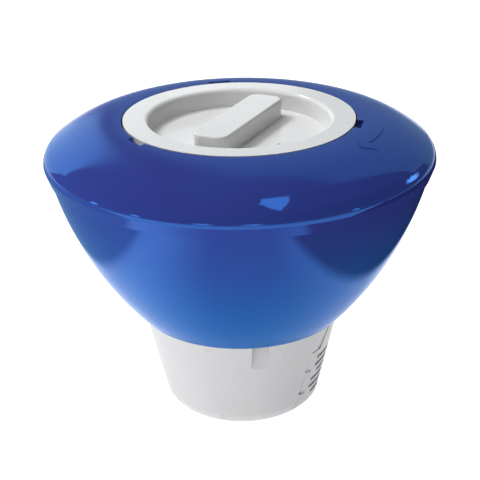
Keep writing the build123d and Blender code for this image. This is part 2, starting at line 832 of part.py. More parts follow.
screw_seat = hub_top + washer_thickness
with BuildPart() as shutter_screw:
    with BuildSketch(Plane.XY.offset(screw_seat)):
        Circle(screw_head_radius)
    extrude(amount=screw_head_height)
    fillet(edges().group_by(Axis.Z)[-1], screw_head_height / 2)
    with BuildSketch(Plane.XY.offset(screw_seat)):
        Circle(screw_radius)
    extrude(amount=-screw_length)
    chamfer(edges().group_by(Axis.Z)[0], screw_radius / 3)
    with BuildSketch(Plane.XY.offset(screw_seat + screw_head_height)):
        Rectangle(screw_cross_length, screw_cross_width)
        Rectangle(screw_cross_width, screw_cross_length)
    extrude(amount=-screw_cross_depth, mode=Mode.SUBTRACT)
finish(shutter_screw.part, "shutter_screw")
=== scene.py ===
"""Floating chlorine dispenser: finishes, fine shapes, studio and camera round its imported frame.

Lengths are metres in the shared frame: +Z up, the front at -Y, the origin at the centre of the
cup's foot with the cup drawn out. The frame gives the pieces that slide and turn. This script
turns the float's bowl and the sealing rings afresh in fine steps, gives every piece its
moulded, rubber or steel surface, and sets up the studio.
"""

import logging
import math
from collections.abc import Callable
from dataclasses import dataclass, field
from enum import Enum

import bmesh
import bpy
from mathutils import Euler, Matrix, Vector


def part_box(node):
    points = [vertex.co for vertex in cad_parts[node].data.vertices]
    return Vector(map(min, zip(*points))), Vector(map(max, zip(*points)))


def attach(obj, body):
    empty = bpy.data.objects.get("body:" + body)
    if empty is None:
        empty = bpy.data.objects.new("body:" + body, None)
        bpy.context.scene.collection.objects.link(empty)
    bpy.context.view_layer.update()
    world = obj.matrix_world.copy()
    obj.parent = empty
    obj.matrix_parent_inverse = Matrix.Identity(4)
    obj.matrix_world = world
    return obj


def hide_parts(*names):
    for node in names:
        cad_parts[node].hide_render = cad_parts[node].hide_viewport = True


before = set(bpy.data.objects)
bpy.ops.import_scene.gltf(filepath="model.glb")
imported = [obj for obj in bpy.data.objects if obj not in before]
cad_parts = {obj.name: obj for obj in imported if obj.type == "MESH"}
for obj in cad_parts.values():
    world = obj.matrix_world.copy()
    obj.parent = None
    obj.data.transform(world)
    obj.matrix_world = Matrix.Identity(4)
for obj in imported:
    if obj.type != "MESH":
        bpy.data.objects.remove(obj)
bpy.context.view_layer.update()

log = logging.getLogger("dispenser")

Colour = tuple[float, float, float]
Point2 = tuple[float, float]
Point3 = tuple[float, float, float]

MM = 0.001
WELD = 0.002 * MM
RING_STEPS = 192
RING_SECTION_STEPS = 20


class Body(Enum):
    """The bodies that new pieces ride on."""

    FLOAT = "float"
    LID_SEAL = "lid_seal"
    CUP = "cup"
    REGULATOR = "regulator"


class Slot(Enum):
    """Names of the material slots meant for new pieces."""

    FLOAT = "float_plastic"
    RUBBER = "seal_rubber"


class Edge(Enum):
    """How a reflection card ends."""

    STRAIGHT = "straight"
    OVAL = "oval"


class ShaderSheet:
    """A material's node tree with short ways to add and join nodes."""

    def __init__(self, name: str) -> None:
        """Start an empty tree with a Principled shader and its output.

        Args:
            name: the material's name.
        """
        self.material = bpy.data.materials.new(name)
        self.material.use_nodes = True
        self.tree = self.material.node_tree
        self.tree.nodes.clear()
        self.out = self.add("ShaderNodeOutputMaterial")
        self.shader = self.add("ShaderNodeBsdfPrincipled")
        self.join(self.shader.outputs["BSDF"], self.out.inputs["Surface"])
        self.place = self.add("ShaderNodeTexCoord").outputs["Object"]

    def add(self, kind: str, **settings: object) -> bpy.types.Node:
        """Add a node.

        Args:
            kind: the node's type name.
            settings: attributes to set on it.

        Returns:
            The new node.
        """
        node = self.tree.nodes.new(kind)
        for key, value in settings.items():
            setattr(node, key, value)
        return node

    def join(self, source: bpy.types.NodeSocket, target: bpy.types.NodeSocket) -> None:
        """Link an output to an input."""
        self.tree.links.new(source, target)

    def noise(
        self, scale: float, detail: float = 3.0, stretch: Point3 = (1, 1, 1)
    ) -> bpy.types.NodeSocket:
        """Fractal noise over the piece.

        Args:
            scale: features per metre.
            detail: octaves of finer noise.
            stretch: how much the pattern is squeezed along each axis.

        Returns:
            The noise value's socket.
        """
        mapping = self.add("ShaderNodeMapping")
        mapping.inputs["Scale"].default_value = stretch
        self.join(self.place, mapping.inputs["Vector"])
        node = self.add("ShaderNodeTexNoise")
        node.inputs["Scale"].default_value = scale
        node.inputs["Detail"].default_value = detail
        self.join(mapping.outputs["Vector"], node.inputs["Vector"])
        return node.outputs["Fac"]

    def height_ramp(self, low: float, high: float) -> bpy.types.NodeSocket:
        """Value that rises from 0 to 1 between two heights.

        Args:
            low: height where it is 0.
            high: height where it is 1.

        Returns:
            The value's socket.
        """
        split = self.add("ShaderNodeSeparateXYZ")
        self.join(self.place, split.inputs["Vector"])
        return self.spread(split.outputs["Z"], low, high, 0.0, 1.0, smooth=True)

    def spread(
        self,
        value: bpy.types.NodeSocket,
        low: float,
        high: float,
        to_low: float,
        to_high: float,
        smooth: bool = False,
    ) -> bpy.types.NodeSocket:
        """Map a value from one range to another, clamped.

        Args:
            value: the socket to map.
            low: start of its range.
            high: end of its range.
            to_low: result at the start.
            to_high: result at the end.
            smooth: ease in and out.

        Returns:
            The mapped value's socket.
        """
        node = self.add("ShaderNodeMapRange")
        node.interpolation_type = "SMOOTHSTEP" if smooth else "LINEAR"
        node.inputs["From Min"].default_value = low
        node.inputs["From Max"].default_value = high
        node.inputs["To Min"].default_value = to_low
        node.inputs["To Max"].default_value = to_high
        self.join(value, node.inputs["Value"])
        return node.outputs["Result"]

    def sum(self, one: bpy.types.NodeSocket, two: bpy.types.NodeSocket) -> bpy.types.NodeSocket:
        """Add two values.

        Args:
            one: the first.
            two: the second.

        Returns:
            The sum's socket.
        """
        node = self.add("ShaderNodeMath", operation="ADD")
        self.join(one, node.inputs[0])
        self.join(two, node.inputs[1])
        return node.outputs[0]

    def blend(self, share: bpy.types.NodeSocket, first: Colour, second: Colour) -> bpy.types.NodeSocket:
        """Mix two colours.

        Args:
            share: how much of the second colour shows.
            first: colour at 0.
            second: colour at 1.

        Returns:
            The mixed colour's socket.
        """
        node = self.add("ShaderNodeMix", data_type="RGBA")
        node.inputs["A"].default_value = (*first, 1.0)
        node.inputs["B"].default_value = (*second, 1.0)
        self.join(share, node.inputs["Factor"])
        return node.outputs["Result"]

    def bump(self, height: bpy.types.NodeSocket, distance: float, strength: float) -> None:
        """Lay a relief over the surface, on top of any relief that is there already.

        Args:
            height: the relief's value.
            distance: its depth in metres.
            strength: how much of it shows.
        """
        node = self.add("ShaderNodeBump")
        node.inputs["Distance"].default_value = distance
        node.inputs["Strength"].default_value = strength
        self.join(height, node.inputs["Height"])
        normal = self.shader.inputs["Normal"]
        if normal.is_linked:
            self.join(normal.links[0].from_socket, node.inputs["Normal"])
        self.join(node.outputs["Normal"], normal)


@dataclass(frozen=True)
class MouldedPlastic:
    """Injection-moulded polypropylene: soft colour drift, flow marks, fine grain."""

    name: str
    colour: Colour
    pale: Colour
    roughness: float = 0.30
    roughness_drift: float = 0.05
    specular: float = 0.45
    grain_depth: float = 0.02 * MM

    def make(self) -> bpy.types.Material:
        """Build the material.

        Returns:
            The finished material.
        """
        sheet = ShaderSheet(self.name)
        shader = sheet.shader
        drift = sheet.noise(12.0, 2.0)
        flow = sheet.noise(26.0, 3.0, stretch=(1.0, 1.0, 0.25))
        share = sheet.spread(sheet.sum(drift, flow), 0.6, 1.4, 0.0, 1.0, smooth=True)
        sheet.join(sheet.blend(share, self.colour, self.pale), shader.inputs["Base Color"])
        smudge = sheet.noise(35.0, 3.0)
        low, high = self.roughness - self.roughness_drift, self.roughness + self.roughness_drift
        sheet.join(sheet.spread(smudge, 0.2, 0.8, low, high, smooth=True), shader.inputs["Roughness"])
        sheet.bump(sheet.noise(1800.0, 2.0), self.grain_depth, 0.2)
        sheet.bump(sheet.noise(90.0, 1.0), 4 * self.grain_depth, 0.05)
        shader.inputs["Specular IOR Level"].default_value = self.specular
        return sheet.material


@dataclass(frozen=True)
class FloatPlastic:
    """Deep blue glossy plastic: satin on the crown, polished on the shoulder and the bowl."""

    name: str = "float_blue"
    deep: Colour = (0.034, 0.040, 0.240)
    # Lighter blue, reached by the random drift and by the painted light low on the bowl.
    bright: Colour = (0.006, 0.115, 0.350)
    layer: Colour = (0.03, 0.26, 0.88)
    layer_share: float = 0.25
    specular: float = 0.12
    polished: float = 0.03
    satin: float = 0.24
    crown_low: float = 157.0 * MM
    crown_high: float = 165.0 * MM
    # Heights of the painted light: the blue is lightest at the low one and unchanged at the high one.
    painted_glow_low: float = 58.0 * MM
    painted_glow_high: float = 160.0 * MM

    def make(self) -> bpy.types.Material:
        """Build the material.

        Returns:
            The finished material.
        """
        sheet = ShaderSheet(self.name)
        shader = sheet.shader
        drift = sheet.spread(sheet.noise(9.0, 2.0), 0.3, 0.7, 0.0, 0.12, smooth=True)
        # Painted light: the blue is painted lighter down the bowl towards its foot.
        foot = sheet.spread(sheet.height_ramp(self.painted_glow_low, self.painted_glow_high), 0.0, 1.0, 0.88, 0.0)
        colour = sheet.blend(sheet.sum(drift, foot), self.deep, self.bright)
        sheet.join(colour, shader.inputs["Base Color"])
        crown = sheet.height_ramp(self.crown_low, self.crown_high)
        smudge = sheet.spread(sheet.noise(40.0, 5.0), 0.4, 0.8, 0.0, 0.02)
        rough = sheet.sum(sheet.spread(crown, 0.0, 1.0, self.polished, self.satin), smudge)
        sheet.join(rough, shader.inputs["Roughness"])
        sheet.bump(sheet.noise(110.0, 2.0), 0.03 * MM, 0.10)
        shader.inputs["Specular IOR Level"].default_value = self.specular
        clear = sheet.add("ShaderNodeBsdfGlossy")
        clear.inputs["Color"].default_value = (*self.layer, 1.0)
        sheet.join(rough, clear.inputs["Roughness"])
        mix = sheet.add("ShaderNodeMixShader")
        mix.inputs[0].default_value = self.layer_share
        sheet.join(shader.outputs["BSDF"], mix.inputs[1])
        sheet.join(clear.outputs[0], mix.inputs[2])
        sheet.join(mix.outputs[0], sheet.out.inputs["Surface"])
        return sheet.material


@dataclass(frozen=True)
class SealRubber:
    """Matt black rubber with a dusty bloom."""

    name: str = "seal_rubber"
    black: Colour = (0.012, 0.012, 0.013)
    bloom: Colour = (0.045, 0.045, 0.046)

    def make(self) -> bpy.types.Material:
        """Build the material.

        Returns:
            The finished material.
        """
        sheet = ShaderSheet(self.name)
        share = sheet.spread(sheet.noise(220.0, 4.0), 0.4, 0.7, 0.0, 1.0)
        sheet.join(sheet.blend(share, self.black, self.bloom), sheet.shader.inputs["Base Color"])
        rough = sheet.spread(sheet.noise(400.0, 2.0), 0.3, 0.7, 0.5, 0.75)
        sheet.join(rough, sheet.shader.inputs["Roughness"])
        sheet.bump(sheet.noise(2500.0, 2.0), 0.02 * MM, 0.4)
        return sheet.material


@dataclass(frozen=True)
class TurnedSteel:
    """Stainless steel with fine turning marks."""

    name: str = "fastener_steel"
    bright: Colour = (0.62, 0.62, 0.61)
    dull: Colour = (0.42, 0.42, 0.42)

    def make(self) -> bpy.types.Material:
        """Build the material.

        Returns:
            The finished material.
        """
        sheet = ShaderSheet(self.name)
        share = sheet.spread(sheet.noise(600.0, 3.0), 0.35, 0.7, 0.0, 1.0)
        sheet.join(sheet.blend(share, self.bright, self.dull), sheet.shader.inputs["Base Color"])
        rough = sheet.spread(sheet.noise(900.0, 2.0, stretch=(1, 1, 6)), 0.3, 0.7, 0.22, 0.42)
        sheet.join(rough, sheet.shader.inputs["Roughness"])
        sheet.shader.inputs["Metallic"].default_value = 1.0
        sheet.bump(sheet.noise(3000.0, 1.0), 0.01 * MM, 0.3)
        return sheet.material


class GeometryTree:
    """A geometry-node tree with short ways to add and join nodes."""

    def __init__(self, name: str) -> None:
        """Start a tree that takes a mesh in and gives one back.

        Args:
            name: the tree's name.
        """
        self.tree = bpy.data.node_groups.new(name, "GeometryNodeTree")
        self.socket("Geometry", "NodeSocketGeometry", "INPUT")
        self.socket("Geometry", "NodeSocketGeometry", "OUTPUT")
        self.source = self.add("NodeGroupInput")
        self.target = self.add("NodeGroupOutput")

    def socket(self, name: str, kind: str, way: str = "INPUT") -> None:
        """Add a named input or output to the tree.

        Args:
            name: the socket's name.
            kind: its type.
            way: INPUT or OUTPUT.
        """
        self.tree.interface.new_socket(name=name, in_out=way, socket_type=kind)

    def add(self, kind: str, **settings: object) -> bpy.types.Node:
        """Add a node.

        Args:
            kind: the node's type name.
            settings: attributes to set on it.

        Returns:
            The new node.
        """
        node = self.tree.nodes.new(kind)
        for key, value in settings.items():
            setattr(node, key, value)
        return node

    def join(self, source: bpy.types.NodeSocket, target: bpy.types.NodeSocket) -> None:
        """Link an output to an input.

        Args:
            source: the output.
            target: the input.
        """
        self.tree.links.new(source, target)

    def maths(self, operation: str, *values: bpy.types.NodeSocket | float) -> bpy.types.NodeSocket:
        """Add a maths node.

        Args:
            operation: what it does.
            values: sockets or plain numbers to work on.

        Returns:
            The result's socket.
        """
        node = self.add("ShaderNodeMath", operation=operation)
        for slot, value in zip(node.inputs, values):
            if isinstance(value, bpy.types.NodeSocket):
                self.join(value, slot)
            else:
                slot.default_value = value
        return node.outputs[0]

    def close(self, mesh: bpy.types.NodeSocket) -> None:
        """End the tree: smooth shading, real geometry, the piece's material.

        Args:
            mesh: the finished mesh's socket.
        """
        self.socket("Material", "NodeSocketMaterial")
        smooth = self.add("GeometryNodeSetShadeSmooth")
        real = self.add("GeometryNodeRealizeInstances")
        paint = self.add("GeometryNodeSetMaterial")
        self.join(mesh, smooth.inputs["Geometry"])
        self.join(smooth.outputs[0], real.inputs["Geometry"])
        self.join(real.outputs[0], paint.inputs["Geometry"])
        self.join(self.source.outputs["Material"], paint.inputs["Material"])
        self.join(paint.outputs[0], self.target.inputs["Geometry"])

    def grow(self, name: str, start: bpy.types.Mesh, values: dict[str, object]) -> bpy.types.Object:
        """Run the tree once and keep its result as a plain mesh.

        Args:
            name: the piece's name.
            start: the mesh that goes in.
            values: what each named input is set to.

        Returns:
            The finished piece, in place.
        """
        seed = bpy.data.objects.new(name + "_start", start)
        bpy.context.scene.collection.objects.link(seed)
        modifier = seed.modifiers.new("shape", "NODES")
        modifier.node_group = self.tree
        for item in self.tree.interface.items_tree:
            if item.item_type == "SOCKET" and item.in_out == "INPUT" and item.name in values:
                modifier[item.identifier] = values[item.name]
        bpy.context.view_layer.update()
        seen = seed.evaluated_get(bpy.context.evaluated_depsgraph_get())
        mesh = bpy.data.meshes.new_from_object(seen)
        mesh.name = name
        bpy.data.objects.remove(seed)
        turn_outwards(mesh)
        piece = bpy.data.objects.new(name, mesh)
        bpy.context.scene.collection.objects.link(piece)
        return piece


def turn_outwards(mesh: bpy.types.Mesh, crease: float = 32.0) -> None:
    """Make a closed mesh's normals face outwards and keep its real edges crisp.

    Args:
        mesh: the mesh.
        crease: edges that bend by more degrees than this stay sharp.
    """
    shape = bmesh.new()
    shape.from_mesh(mesh)
    bmesh.ops.recalc_face_normals(shape, faces=shape.faces)
    shape.to_mesh(mesh)
    shape.free()
    mesh.set_sharp_from_angle(angle=math.radians(crease))


def lathe_tree() -> GeometryTree:
    """Tree that turns a closed section (x = radius, z = height) about the axis.

    Returns:
        The tree. Its inputs are the section's mesh, the steps of a turn and the material.
    """
    lathe = GeometryTree("turned_section")
    lathe.socket("Steps", "NodeSocketInt")
    steps = lathe.source.outputs["Steps"]
    count = lathe.add("GeometryNodeAttributeDomainSize")
    lathe.join(lathe.source.outputs["Geometry"], count.inputs["Geometry"])
    rows = lathe.maths("ADD", count.outputs["Point Count"], 1.0)
    columns = lathe.maths("ADD", steps, 1.0)
    grid = lathe.add("GeometryNodeMeshGrid")
    lathe.join(rows, grid.inputs["Vertices X"])
    lathe.join(columns, grid.inputs["Vertices Y"])
    index = lathe.add("GeometryNodeInputIndex").outputs[0]
    row = lathe.maths("FLOOR", lathe.maths("DIVIDE", lathe.maths("ADD", index, 0.5), columns))
    column = lathe.maths("SUBTRACT", index, lathe.maths("MULTIPLY", row, columns))
    point = lathe.maths("MODULO", row, count.outputs["Point Count"])
    sample = lathe.add("GeometryNodeSampleIndex", data_type="FLOAT_VECTOR", domain="POINT")
    lathe.join(lathe.source.outputs["Geometry"], sample.inputs["Geometry"])
    lathe.join(lathe.add("GeometryNodeInputPosition").outputs[0], sample.inputs["Value"])
    lathe.join(point, sample.inputs["Index"])
    split = lathe.add("ShaderNodeSeparateXYZ")
    lathe.join(sample.outputs[0], split.inputs[0])
    angle = lathe.maths("DIVIDE", lathe.maths("MULTIPLY", column, math.tau), steps)
    place = lathe.add("ShaderNodeCombineXYZ")
    across = lathe.maths("MULTIPLY", split.outputs["X"], lathe.maths("COSINE", angle))
    along = lathe.maths("MULTIPLY", split.outputs["X"], lathe.maths("SINE", angle))
    lathe.join(across, place.inputs["X"])
    lathe.join(along, place.inputs["Y"])
    lathe.join(split.outputs["Z"], place.inputs["Z"])
    wrap = lathe.add("GeometryNodeSetPosition")
    lathe.join(grid.outputs["Mesh"], wrap.inputs["Geometry"])
    lathe.join(place.outputs[0], wrap.inputs["Position"])
    weld = lathe.add("GeometryNodeMergeByDistance")
    weld.inputs["Distance"].default_value = WELD
    lathe.join(wrap.outputs[0], weld.inputs["Geometry"])
    lathe.close(weld.outputs[0])
    return lathe


def ring_tree() -> GeometryTree:
    """Tree that makes a round-section sealing ring.

    Returns:
        The tree. Its inputs are the ring's middle radius, section radius, height and material.
    """
    ring = GeometryTree("sealing_ring")
    for name in ("Middle Radius", "Section Radius", "Height"):
        ring.socket(name, "NodeSocketFloat")
    path = ring.add("GeometryNodeCurvePrimitiveCircle")
    path.inputs["Resolution"].default_value = RING_STEPS
    profile = ring.add("GeometryNodeCurvePrimitiveCircle")
    profile.inputs["Resolution"].default_value = RING_SECTION_STEPS
    ring.join(ring.source.outputs["Middle Radius"], path.inputs["Radius"])
    ring.join(ring.source.outputs["Section Radius"], profile.inputs["Radius"])
    sweep = ring.add("GeometryNodeCurveToMesh")
    ring.join(path.outputs["Curve"], sweep.inputs["Curve"])
    ring.join(profile.outputs["Curve"], sweep.inputs["Profile Curve"])
    lift = ring.add("ShaderNodeCombineXYZ")
    ring.join(ring.source.outputs["Height"], lift.inputs["Z"])
    move = ring.add("GeometryNodeTransform")
    ring.join(sweep.outputs[0], move.inputs["Geometry"])
    ring.join(lift.outputs[0], move.inputs["Translation"])
    ring.close(move.outputs[0])
    return ring


def hand_over(piece: bpy.types.Object, body: Body, slot: Slot, *nodes: str) -> None:
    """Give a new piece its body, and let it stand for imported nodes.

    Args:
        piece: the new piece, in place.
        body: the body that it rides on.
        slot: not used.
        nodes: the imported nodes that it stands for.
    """
    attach(piece, body.value)
    if nodes:
        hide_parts(*nodes)
    log.info("made %s on %s", piece.name, body.value)


def dress(node: str, material: bpy.types.Material) -> None:
    """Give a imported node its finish.

    Args:
        node: the node's name.
        material: its material.
    """
    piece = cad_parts[node]
    piece.data.materials.clear()
    piece.data.materials.append(material)
    log.info("dressed %s in %s", node, material.name)


@dataclass
class SealingRings:
    """Every rubber ring, made round again where the frame's ring is."""

    finish: SealRubber = field(default_factory=SealRubber)
    homes: dict[str, Body] = field(
        default_factory=lambda: {
            "well_upper_seal": Body.FLOAT,
            "well_lower_seal": Body.FLOAT,
            "lid_gasket": Body.LID_SEAL,
            "cup_brake_ring": Body.CUP,
            "dial_seal": Body.REGULATOR,
        }
    )

    def build(self) -> None:
        """Make the rings and hand each to its body."""
        tree = ring_tree()
        rubber = self.finish.make()
        for node, body in self.homes.items():
            low, high = (Vector(corner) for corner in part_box(node))
            section = (high.z - low.z) / 2
            values = {
                "Middle Radius": (high.x - low.x) / 2 - section,
                "Section Radius": section,
                "Height": (low.z + high.z) / 2,
                "Material": rubber,
            }
            start = bpy.data.meshes.new(node + "_start")
            piece = tree.grow(node + "_ring", start, values)
            hand_over(piece, body, Slot.RUBBER, node)


@dataclass
class FloatShells:
    """The float: domed top shell as packed, bowl turned afresh in fine steps."""

    finish: FloatPlastic = field(default_factory=FloatPlastic)
    wall: float = 2.6 * MM
    lip: Point2 = (101.9 * MM, 141.6 * MM)
    foot: Point2 = (57.4 * MM, 58.5 * MM)
    bulge: float = 6.0 * MM
    foot_round: float = 1.0 * MM
    bore: float = 56.0 * MM
    socket_bore: float = 58.5 * MM
    socket_wall: float = 2.4 * MM
    socket_low: float = 64.1 * MM
    socket_high: float = 70.1 * MM
    spigot_radius: float = 100.2 * MM
    spigot_wall: float = 2.2 * MM
    spigot_low: float = 138.6 * MM
    spigot_high: float = 146.6 * MM
    steps: int = 320
    outer_steps: int = 72
    inner_steps: int = 40
    round_steps: int = 8
    groove_steps: int = 4

    def circle(self) -> tuple[float, float, float]:
        """Circle of the bowl's outer face in its section.

        Returns:
            Radius, and the centre's distance from the axis and height.
        """
        rise, spread = self.lip[1] - self.foot[1], self.lip[0] - self.foot[0]
        chord = math.hypot(rise, spread)
        radius = (chord**2 / 4 + self.bulge**2) / (2 * self.bulge)
        inset = radius - self.bulge
        return (
            radius,
            (self.lip[0] + self.foot[0]) / 2 - inset * rise / chord,
            (self.lip[1] + self.foot[1]) / 2 + inset * spread / chord,
        )

    def outer_line(self) -> list[Point2]:
        """Outer face from the lip down to the rounded edge over the cup.

        Returns:
            Points as (radius, height).
        """
        radius, centre_r, centre_z = self.circle()
        start = math.atan2(self.lip[1] - centre_z, self.lip[0] - centre_r)
        low = self.foot[1]
        inner = radius - self.foot_round
        round_z = low + self.foot_round
        round_r = centre_r + math.sqrt(inner**2 - (round_z - centre_z) ** 2)
        end = math.atan2(round_z - centre_z, round_r - centre_r)
        line = []
        for step in range(self.outer_steps + 1):
            turn = start + (end - start) * step / self.outer_steps
            line.append((centre_r + radius * math.cos(turn), centre_z + radius * math.sin(turn)))
        for step in range(1, self.round_steps + 1):
            turn = end + (-math.pi / 2 - end) * step / self.round_steps
            line.append(
                (round_r + self.foot_round * math.cos(turn), round_z + self.foot_round * math.sin(turn))
            )
        return line

    def inner_line(self, low: float, high: float, steps: int) -> list[Point2]:
        """Inner face between two heights, going up.

        Args:
            low: lower height.
            high: upper height.
            steps: how many steps it is divided in.

        Returns:
            Points as (radius, height).
        """
        radius, centre_r, centre_z = self.circle()
        inside = radius - self.wall
        line = []
        for step in range(steps + 1):
            height = low + (high - low) * step / steps
            line.append((centre_r + math.sqrt(inside**2 - (height - centre_z) ** 2), height))
        return line

    def height_at(self, reach: float) -> float:
        """Height where the inner face is that far from the axis.

        Args:
            reach: distance from the axis.

        Returns:
            The height.
        """
        radius, centre_r, centre_z = self.circle()
        return centre_z - math.sqrt((radius - self.wall) ** 2 - (reach - centre_r) ** 2)

    def section(self) -> list[Point2]:
        """Closed outline of the bowl's wall with its socket and spigot.

        Returns:
            Points as (radius, height), in order.
        """
        floor_top = self.foot[1] + self.wall
        collar = self.socket_bore + self.socket_wall
        line = self.outer_line()
        line += [(self.bore, self.foot[1]), (self.bore, floor_top), (self.socket_bore, floor_top)]
        groove_low = self.height_at(self.socket_bore)
        line += self.inner_line(groove_low, self.socket_low, self.groove_steps)
        line += [(self.socket_bore, self.socket_low), (self.socket_bore, self.socket_high)]
        line += [(collar, self.socket_high)]
        line += self.inner_line(self.height_at(collar), self.spigot_low, self.inner_steps)
        spigot_inner = self.spigot_radius - self.spigot_wall
        line += [(spigot_inner, self.spigot_low), (spigot_inner, self.spigot_high)]
        line += [(self.spigot_radius, self.spigot_high), (self.spigot_radius, self.lip[1])]
        return line

    def build(self) -> None:
        """Turn the bowl and dress both shells."""
        blue = self.finish.make()
        start = bpy.data.meshes.new("bowl_section")
        start.from_pydata([(reach, 0.0, height) for reach, height in self.section()], [], [])
        bowl = lathe_tree().grow("float_bowl_turned", start, {"Steps": self.steps, "Material": blue})
        hand_over(bowl, Body.FLOAT, Slot.FLOAT, "float_bowl")
        dress("float_top_shell", blue)


@dataclass
class WellTube:
    """The tube inside the float that the cup slides in."""

    finish: MouldedPlastic = field(
        default_factory=lambda: MouldedPlastic("tube_grey", (0.60, 0.61, 0.61), (0.64, 0.64, 0.64), 0.36)
    )

    def build(self) -> None:
        """Dress the tube."""
        dress("well_tube", self.finish.make())


@dataclass
class Lid:
    """The sunk lid with its bar grip."""

    finish: MouldedPlastic = field(
        default_factory=lambda: MouldedPlastic("lid_grey", (0.70, 0.70, 0.70), (0.74, 0.74, 0.74), 0.17)
    )

    def build(self) -> None:
        """Dress the lid."""
        dress("lid_cap", self.finish.make())


@dataclass
class Cup:
    """The tablet cup with its slotted windows."""

    finish: MouldedPlastic = field(
        default_factory=lambda: MouldedPlastic("cup_grey", (0.60, 0.60, 0.60), (0.65, 0.65, 0.65), 0.30)
    )

    def build(self) -> None:
        """Dress the cup."""
        dress("cup_body", self.finish.make())


@dataclass
class Regulator:
    """Shutter, dial, screw and washer that set the dose."""

    plastic: MouldedPlastic = field(
        default_factory=lambda: MouldedPlastic(
            "regulator_grey", (0.64, 0.64, 0.64), (0.69, 0.69, 0.69), 0.30
        )
    )
    metal: TurnedSteel = field(default_factory=TurnedSteel)

    def build(self) -> None:
        """Dress the regulator's pieces."""
        grey = self.plastic.make()
        steel = self.metal.make()
        for node in ("dose_shutter", "dose_dial"):
            dress(node, grey)
        for node in ("shutter_washer", "shutter_screw"):
            dress(node, steel)


@dataclass
class SoftBox:
    """A rectangular studio lamp that lights surfaces but isn't mirrored by them."""

    name: str
    place: Point3
    aim: Point3
    width: float
    height: float
    power: float
    colour: Colour = (1.0, 1.0, 1.0)
    mirrored: bool = False
    only_for: tuple[str, ...] = ()

    def build(self) -> None:
        """Hang the lamp."""
        lamp = bpy.data.lights.new(self.name, "AREA")
        lamp.shape = "RECTANGLE"
        lamp.size = self.width
        lamp.size_y = self.height
        lamp.energy = self.power
        lamp.color = self.colour
        rig = bpy.data.objects.new(self.name, lamp)
        rig.location = self.place
        aim = Vector(self.aim) - Vector(self.place)
        rig.rotation_euler = aim.to_track_quat("-Z", "Y").to_euler()
        rig.visible_camera = False
        rig.visible_glossy = self.mirrored
        if self.only_for:
            lit = bpy.data.collections.new(self.name)
            for node in self.only_for:
                lit.objects.link(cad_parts[node])
            rig.light_linking.receiver_collection = lit
        bpy.context.scene.collection.objects.link(rig)


@dataclass
class Card:
    """A card that only reflections see: bright to add a gleam, dark to hold one back."""

    name: str
    brightness: float
    tint: Colour = (1.0, 1.0, 1.0)
    edge: Edge = Edge.STRAIGHT
    softness: float = 0.1

    def glow(self) -> bpy.types.Material:
        """Light of the card, fading out towards its edge.

        Returns:
            The card's material.
        """
        sheet = ShaderSheet(self.name)
        tree = sheet.tree
        tree.nodes.remove(sheet.shader)
        split = sheet.add("ShaderNodeSeparateXYZ")
        centred = sheet.add("ShaderNodeVectorMath", operation="MULTIPLY_ADD")
        centred.inputs[1].default_value = (2.0, 2.0, 0.0)
        centred.inputs[2].default_value = (-1.0, -1.0, 0.0)
        sheet.join(sheet.add("ShaderNodeUVMap", uv_map="card").outputs[0], centred.inputs[0])
        if self.edge is Edge.OVAL:
            reach = sheet.add("ShaderNodeVectorMath", operation="LENGTH")
            sheet.join(centred.outputs[0], reach.inputs[0])
            outwards = reach.outputs["Value"]
        else:
            size = sheet.add("ShaderNodeVectorMath", operation="ABSOLUTE")
            sheet.join(centred.outputs[0], size.inputs[0])
            sheet.join(size.outputs[0], split.inputs[0])
            most = sheet.add("ShaderNodeMath", operation="MAXIMUM")
            sheet.join(split.outputs["X"], most.inputs[0])
            sheet.join(split.outputs["Y"], most.inputs[1])
            outwards = most.outputs[0]
        share = sheet.spread(outwards, 1.0 - self.softness, 1.0, 1.0, 0.0, smooth=True)
        light = sheet.add("ShaderNodeEmission")
        light.inputs["Color"].default_value = (*self.tint, 1.0)
        light.inputs["Strength"].default_value = self.brightness
        mix = sheet.add("ShaderNodeMixShader")
        sheet.join(share, mix.inputs[0])
        sheet.join(sheet.add("ShaderNodeBsdfTransparent").outputs[0], mix.inputs[1])
        sheet.join(light.outputs[0], mix.inputs[2])
        sheet.join(mix.outputs[0], sheet.out.inputs["Surface"])
        return sheet.material

    def place(self, surface: Callable[[float, float], Point3], steps: int = 16) -> None:
        """Stand the card up.

        Args:
            surface: gives the card's point for two shares from 0 to 1.
            steps: how finely the card is divided each way.
        """
        marks = [step / steps for step in range(steps + 1)]
        points = [surface(across, along) for along in marks for across in marks]
        shares = [(across, along) for along in marks for across in marks]
        row = steps + 1
        faces = [
            (at, at + 1, at + row + 1, at + row)
            for line in range(steps)
            for at in range(line * row, line * row + steps)
        ]
        mesh = bpy.data.meshes.new(self.name)
        mesh.from_pydata(points, [], faces)
        layer = mesh.uv_layers.new(name="card")
        for loop in mesh.loops:
            layer.data[loop.index].uv = shares[loop.vertex_index]
        mesh.materials.append(self.glow())
        card = bpy.data.objects.new(self.name, mesh)
        card.visible_camera = False
        card.visible_diffuse = False
        card.visible_shadow = False
        card.visible_transmission = False
        card.visible_volume_scatter = False
        bpy.context.scene.collection.objects.link(card)


@dataclass
class SkyCard(Card):
    """A card far off, placed by compass direction (from +Y towards +X) and height, in degrees."""

    azimuth: Point2 = (0.0, 10.0)
    elevation: Point2 = (0.0, 10.0)
    lean: float = 0.0
    distance: float = 2.0
    heart: Point3 = (0.0, 0.0, 0.13)

    def build(self) -> None:
        """Stand the card up on its piece of sky."""

        def point(across: float, along: float) -> Point3:
            """Point of the sky card.

            Args:
                across: share of its width, from 0 to 1.
                along: share of its height, from 0 to 1.

            Returns:
                The point.
            """
            rise = self.elevation[0] + (self.elevation[1] - self.elevation[0]) * along
            turn = self.azimuth[0] + (self.azimuth[1] - self.azimuth[0]) * across + self.lean * along
            level = self.distance * math.cos(math.radians(rise))
            return (
                self.heart[0] + level * math.sin(math.radians(turn)),
                self.heart[1] + level * math.cos(math.radians(turn)),
                self.heart[2] + self.distance * math.sin(math.radians(rise)),
            )

        self.place(point)


